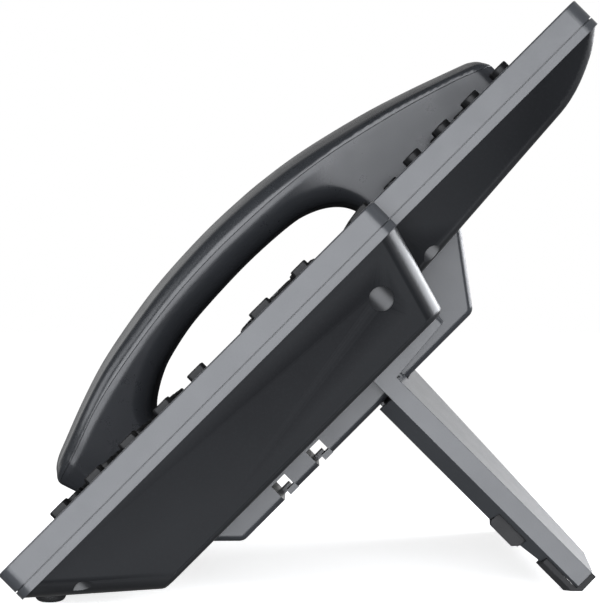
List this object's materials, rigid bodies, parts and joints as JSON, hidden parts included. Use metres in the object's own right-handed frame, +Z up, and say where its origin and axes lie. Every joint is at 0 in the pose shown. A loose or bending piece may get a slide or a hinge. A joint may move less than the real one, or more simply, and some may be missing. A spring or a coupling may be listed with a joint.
{
  "type": "desk ip phone",
  "caption": "Desk IP phone tilted on an L-shaped detachable rear stand, with an arched handset in its cradle, a display with line keys, softkeys, a navigation ring and a dial pad.",
  "frame": {"origin": "bottom centre of the bounding box, on the desk plane the feet stand on", "axes": "+Z up, +X to the user's right, -Y towards the user, in the pose of use with the face tilted 45 degrees"},
  "size_m": [0.2, 0.165, 0.1606],
  "materials": {
    "charcoal_plastic": "fine texture, satin",
    "charcoal_plastic_back": "fine texture, satin",
    "key_plastic": "satin",
    "display_window": "polished",
    "display_module": "glossy panel in a thin frame",
    "circuit_board": "solder mask",
    "mat_rubber": "matt silicone",
    "foot_rubber": "matt",
    "socket_black": "moulded",
    "steel_grey": "pressed",
    "screw_steel": "zinc plated"
  },
  "bodies": {
    "base": {"display_window": "display_window", "front_bezel": "charcoal_plastic", "front_feet": "foot_rubber", "handset_jacks": "socket_black", "hook_switch": "socket_black", "housing_screws": "screw_steel", "keypad_mat": "mat_rubber", "lcd_module": "display_module", "loudspeaker": "steel_grey", "main_board": "circuit_board", "network_jacks": "socket_black", "rear_housing": "charcoal_plastic_back"},
    "stand": {"stand": "charcoal_plastic_back", "stand_feet": "foot_rubber"},
    "handset": {"handset_top_shell": "charcoal_plastic", "handset_bottom_shell": "charcoal_plastic", "receiver_capsule": "steel_grey", "handset_microphone": "steel_grey"},
    "hook_plunger": {"hook_plunger": "charcoal_plastic"},
    "dial_key_0": {"dial_key_0": "key_plastic"},
    "dial_key_1": {"dial_key_1": "key_plastic"},
    "dial_key_2": {"dial_key_2": "key_plastic"},
    "dial_key_3": {"dial_key_3": "key_plastic"},
    "dial_key_4": {"dial_key_4": "key_plastic"},
    "dial_key_5": {"dial_key_5": "key_plastic"},
    "dial_key_6": {"dial_key_6": "key_plastic"},
    "dial_key_7": {"dial_key_7": "key_plastic"},
    "dial_key_8": {"dial_key_8": "key_plastic"},
    "dial_key_9": {"dial_key_9": "key_plastic"},
    "dial_key_hash": {"dial_key_hash": "key_plastic"},
    "dial_key_star": {"dial_key_star": "key_plastic"},
    "function_key_1": {"function_key_1": "key_plastic"},
    "function_key_2": {"function_key_2": "key_plastic"},
    "function_key_3": {"function_key_3": "key_plastic"},
    "function_key_4": {"function_key_4": "key_plastic"},
    "function_key_5": {"function_key_5": "key_plastic"},
    "function_key_6": {"function_key_6": "key_plastic"},
    "function_key_7": {"function_key_7": "key_plastic"},
    "line_key_left_1": {"line_key_left_1": "key_plastic"},
    "line_key_left_2": {"line_key_left_2": "key_plastic"},
    "line_key_left_3": {"line_key_left_3": "key_plastic"},
    "line_key_left_4": {"line_key_left_4": "key_plastic"},
    "line_key_right_1": {"line_key_right_1": "key_plastic"},
    "line_key_right_2": {"line_key_right_2": "key_plastic"},
    "line_key_right_3": {"line_key_right_3": "key_plastic"},
    "line_key_right_4": {"line_key_right_4": "key_plastic"},
    "nav_key_center": {"nav_key_center": "key_plastic"},
    "nav_key_down": {"nav_key_down": "key_plastic"},
    "nav_key_left": {"nav_key_left": "key_plastic"},
    "nav_key_right": {"nav_key_right": "key_plastic"},
    "nav_key_up": {"nav_key_up": "key_plastic"},
    "nav_side_key_left_lower": {"nav_side_key_left_lower": "key_plastic"},
    "nav_side_key_left_upper": {"nav_side_key_left_upper": "key_plastic"},
    "nav_side_key_right_lower": {"nav_side_key_right_lower": "key_plastic"},
    "nav_side_key_right_upper": {"nav_side_key_right_upper": "key_plastic"},
    "softkey_1": {"softkey_1": "key_plastic"},
    "softkey_2": {"softkey_2": "key_plastic"},
    "softkey_3": {"softkey_3": "key_plastic"},
    "softkey_4": {"softkey_4": "key_plastic"}
  },
  "joints": [
    {"name": "handset_lift", "type": "slide", "parent": "base", "child": "handset", "axis": [0, -0.7071, 0.7071], "range_m": [0, 0.06]},
    {"name": "hook_plunger_travel", "type": "slide", "parent": "base", "child": "hook_plunger", "axis": [0, -0.7071, 0.7071], "range_m": [0, 0.003]},
    {"name": "stand_unlatch", "type": "slide", "parent": "base", "child": "stand", "axis": [0, -0.7071, -0.7071], "range_m": [0, 0.003]},
    {"name": "dial_key_0_press", "type": "slide", "parent": "base", "child": "dial_key_0", "axis": [0, 0.7071, -0.7071], "range_m": [0, 0.0008], "stiffness_N_per_m": 200, "springref_m": -0.002},
    {"name": "dial_key_1_press", "type": "slide", "parent": "base", "child": "dial_key_1", "axis": [0, 0.7071, -0.7071], "range_m": [0, 0.0008], "stiffness_N_per_m": 200, "springref_m": -0.002},
    {"name": "dial_key_2_press", "type": "slide", "parent": "base", "child": "dial_key_2", "axis": [0, 0.7071, -0.7071], "range_m": [0, 0.0008], "stiffness_N_per_m": 200, "springref_m": -0.002},
    {"name": "dial_key_3_press", "type": "slide", "parent": "base", "child": "dial_key_3", "axis": [0, 0.7071, -0.7071], "range_m": [0, 0.0008], "stiffness_N_per_m": 200, "springref_m": -0.002},
    {"name": "dial_key_4_press", "type": "slide", "parent": "base", "child": "dial_key_4", "axis": [0, 0.7071, -0.7071], "range_m": [0, 0.0008], "stiffness_N_per_m": 200, "springref_m": -0.002},
    {"name": "dial_key_5_press", "type": "slide", "parent": "base", "child": "dial_key_5", "axis": [0, 0.7071, -0.7071], "range_m": [0, 0.0008], "stiffness_N_per_m": 200, "springref_m": -0.002},
    {"name": "dial_key_6_press", "type": "slide", "parent": "base", "child": "dial_key_6", "axis": [0, 0.7071, -0.7071], "range_m": [0, 0.0008], "stiffness_N_per_m": 200, "springref_m": -0.002},
    {"name": "dial_key_7_press", "type": "slide", "parent": "base", "child": "dial_key_7", "axis": [0, 0.7071, -0.7071], "range_m": [0, 0.0008], "stiffness_N_per_m": 200, "springref_m": -0.002},
    {"name": "dial_key_8_press", "type": "slide", "parent": "base", "child": "dial_key_8", "axis": [0, 0.7071, -0.7071], "range_m": [0, 0.0008], "stiffness_N_per_m": 200, "springref_m": -0.002},
    {"name": "dial_key_9_press", "type": "slide", "parent": "base", "child": "dial_key_9", "axis": [0, 0.7071, -0.7071], "range_m": [0, 0.0008], "stiffness_N_per_m": 200, "springref_m": -0.002},
    {"name": "dial_key_hash_press", "type": "slide", "parent": "base", "child": "dial_key_hash", "axis": [0, 0.7071, -0.7071], "range_m": [0, 0.0008], "stiffness_N_per_m": 200, "springref_m": -0.002},
    {"name": "dial_key_star_press", "type": "slide", "parent": "base", "child": "dial_key_star", "axis": [0, 0.7071, -0.7071], "range_m": [0, 0.0008], "stiffness_N_per_m": 200, "springref_m": -0.002},
    {"name": "function_key_1_press", "type": "slide", "parent": "base", "child": "function_key_1", "axis": [0, 0.7071, -0.7071], "range_m": [0, 0.0008], "stiffness_N_per_m": 200, "springref_m": -0.002},
    {"name": "function_key_2_press", "type": "slide", "parent": "base", "child": "function_key_2", "axis": [0, 0.7071, -0.7071], "range_m": [0, 0.0008], "stiffness_N_per_m": 200, "springref_m": -0.002},
    {"name": "function_key_3_press", "type": "slide", "parent": "base", "child": "function_key_3", "axis": [0, 0.7071, -0.7071], "range_m": [0, 0.0008], "stiffness_N_per_m": 200, "springref_m": -0.002},
    {"name": "function_key_4_press", "type": "slide", "parent": "base", "child": "function_key_4", "axis": [0, 0.7071, -0.7071], "range_m": [0, 0.0008], "stiffness_N_per_m": 200, "springref_m": -0.002},
    {"name": "function_key_5_press", "type": "slide", "parent": "base", "child": "function_key_5", "axis": [0, 0.7071, -0.7071], "range_m": [0, 0.0008], "stiffness_N_per_m": 200, "springref_m": -0.002},
    {"name": "function_key_6_press", "type": "slide", "parent": "base", "child": "function_key_6", "axis": [0, 0.7071, -0.7071], "range_m": [0, 0.0008], "stiffness_N_per_m": 200, "springref_m": -0.002},
    {"name": "function_key_7_press", "type": "slide", "parent": "base", "child": "function_key_7", "axis": [0, 0.7071, -0.7071], "range_m": [0, 0.0008], "stiffness_N_per_m": 200, "springref_m": -0.002},
    {"name": "line_key_left_1_press", "type": "slide", "parent": "base", "child": "line_key_left_1", "axis": [0, 0.7071, -0.7071], "range_m": [0, 0.0008], "stiffness_N_per_m": 200, "springref_m": -0.002},
    {"name": "line_key_left_2_press", "type": "slide", "parent": "base", "child": "line_key_left_2", "axis": [0, 0.7071, -0.7071], "range_m": [0, 0.0008], "stiffness_N_per_m": 200, "springref_m": -0.002},
    {"name": "line_key_left_3_press", "type": "slide", "parent": "base", "child": "line_key_left_3", "axis": [0, 0.7071, -0.7071], "range_m": [0, 0.0008], "stiffness_N_per_m": 200, "springref_m": -0.002},
    {"name": "line_key_left_4_press", "type": "slide", "parent": "base", "child": "line_key_left_4", "axis": [0, 0.7071, -0.7071], "range_m": [0, 0.0008], "stiffness_N_per_m": 200, "springref_m": -0.002},
    {"name": "line_key_right_1_press", "type": "slide", "parent": "base", "child": "line_key_right_1", "axis": [0, 0.7071, -0.7071], "range_m": [0, 0.0008], "stiffness_N_per_m": 200, "springref_m": -0.002},
    {"name": "line_key_right_2_press", "type": "slide", "parent": "base", "child": "line_key_right_2", "axis": [0, 0.7071, -0.7071], "range_m": [0, 0.0008], "stiffness_N_per_m": 200, "springref_m": -0.002},
    {"name": "line_key_right_3_press", "type": "slide", "parent": "base", "child": "line_key_right_3", "axis": [0, 0.7071, -0.7071], "range_m": [0, 0.0008], "stiffness_N_per_m": 200, "springref_m": -0.002},
    {"name": "line_key_right_4_press", "type": "slide", "parent": "base", "child": "line_key_right_4", "axis": [0, 0.7071, -0.7071], "range_m": [0, 0.0008], "stiffness_N_per_m": 200, "springref_m": -0.002},
    {"name": "nav_key_center_press", "type": "slide", "parent": "base", "child": "nav_key_center", "axis": [0, 0.7071, -0.7071], "range_m": [0, 0.0008], "stiffness_N_per_m": 200, "springref_m": -0.002},
    {"name": "nav_key_down_press", "type": "slide", "parent": "base", "child": "nav_key_down", "axis": [0, 0.7071, -0.7071], "range_m": [0, 0.0008], "stiffness_N_per_m": 200, "springref_m": -0.002},
    {"name": "nav_key_left_press", "type": "slide", "parent": "base", "child": "nav_key_left", "axis": [0, 0.7071, -0.7071], "range_m": [0, 0.0008], "stiffness_N_per_m": 200, "springref_m": -0.002},
    {"name": "nav_key_right_press", "type": "slide", "parent": "base", "child": "nav_key_right", "axis": [0, 0.7071, -0.7071], "range_m": [0, 0.0008], "stiffness_N_per_m": 200, "springref_m": -0.002},
    {"name": "nav_key_up_press", "type": "slide", "parent": "base", "child": "nav_key_up", "axis": [0, 0.7071, -0.7071], "range_m": [0, 0.0008], "stiffness_N_per_m": 200, "springref_m": -0.002},
    {"name": "nav_side_key_left_lower_press", "type": "slide", "parent": "base", "child": "nav_side_key_left_lower", "axis": [0, 0.7071, -0.7071], "range_m": [0, 0.0008], "stiffness_N_per_m": 200, "springref_m": -0.002},
    {"name": "nav_side_key_left_upper_press", "type": "slide", "parent": "base", "child": "nav_side_key_left_upper", "axis": [0, 0.7071, -0.7071], "range_m": [0, 0.0008], "stiffness_N_per_m": 200, "springref_m": -0.002},
    {"name": "nav_side_key_right_lower_press", "type": "slide", "parent": "base", "child": "nav_side_key_right_lower", "axis": [0, 0.7071, -0.7071], "range_m": [0, 0.0008], "stiffness_N_per_m": 200, "springref_m": -0.002},
    {"name": "nav_side_key_right_upper_press", "type": "slide", "parent": "base", "child": "nav_side_key_right_upper", "axis": [0, 0.7071, -0.7071], "range_m": [0, 0.0008], "stiffness_N_per_m": 200, "springref_m": -0.002},
    {"name": "softkey_1_press", "type": "slide", "parent": "base", "child": "softkey_1", "axis": [0, 0.7071, -0.7071], "range_m": [0, 0.0008], "stiffness_N_per_m": 200, "springref_m": -0.002},
    {"name": "softkey_2_press", "type": "slide", "parent": "base", "child": "softkey_2", "axis": [0, 0.7071, -0.7071], "range_m": [0, 0.0008], "stiffness_N_per_m": 200, "springref_m": -0.002},
    {"name": "softkey_3_press", "type": "slide", "parent": "base", "child": "softkey_3", "axis": [0, 0.7071, -0.7071], "range_m": [0, 0.0008], "stiffness_N_per_m": 200, "springref_m": -0.002},
    {"name": "softkey_4_press", "type": "slide", "parent": "base", "child": "softkey_4", "axis": [0, 0.7071, -0.7071], "range_m": [0, 0.0008], "stiffness_N_per_m": 200, "springref_m": -0.002}
  ],
  "couplings": [
    {"joint": "hook_plunger_travel", "follows": "handset_lift", "ratio": 0.05}
  ]
}
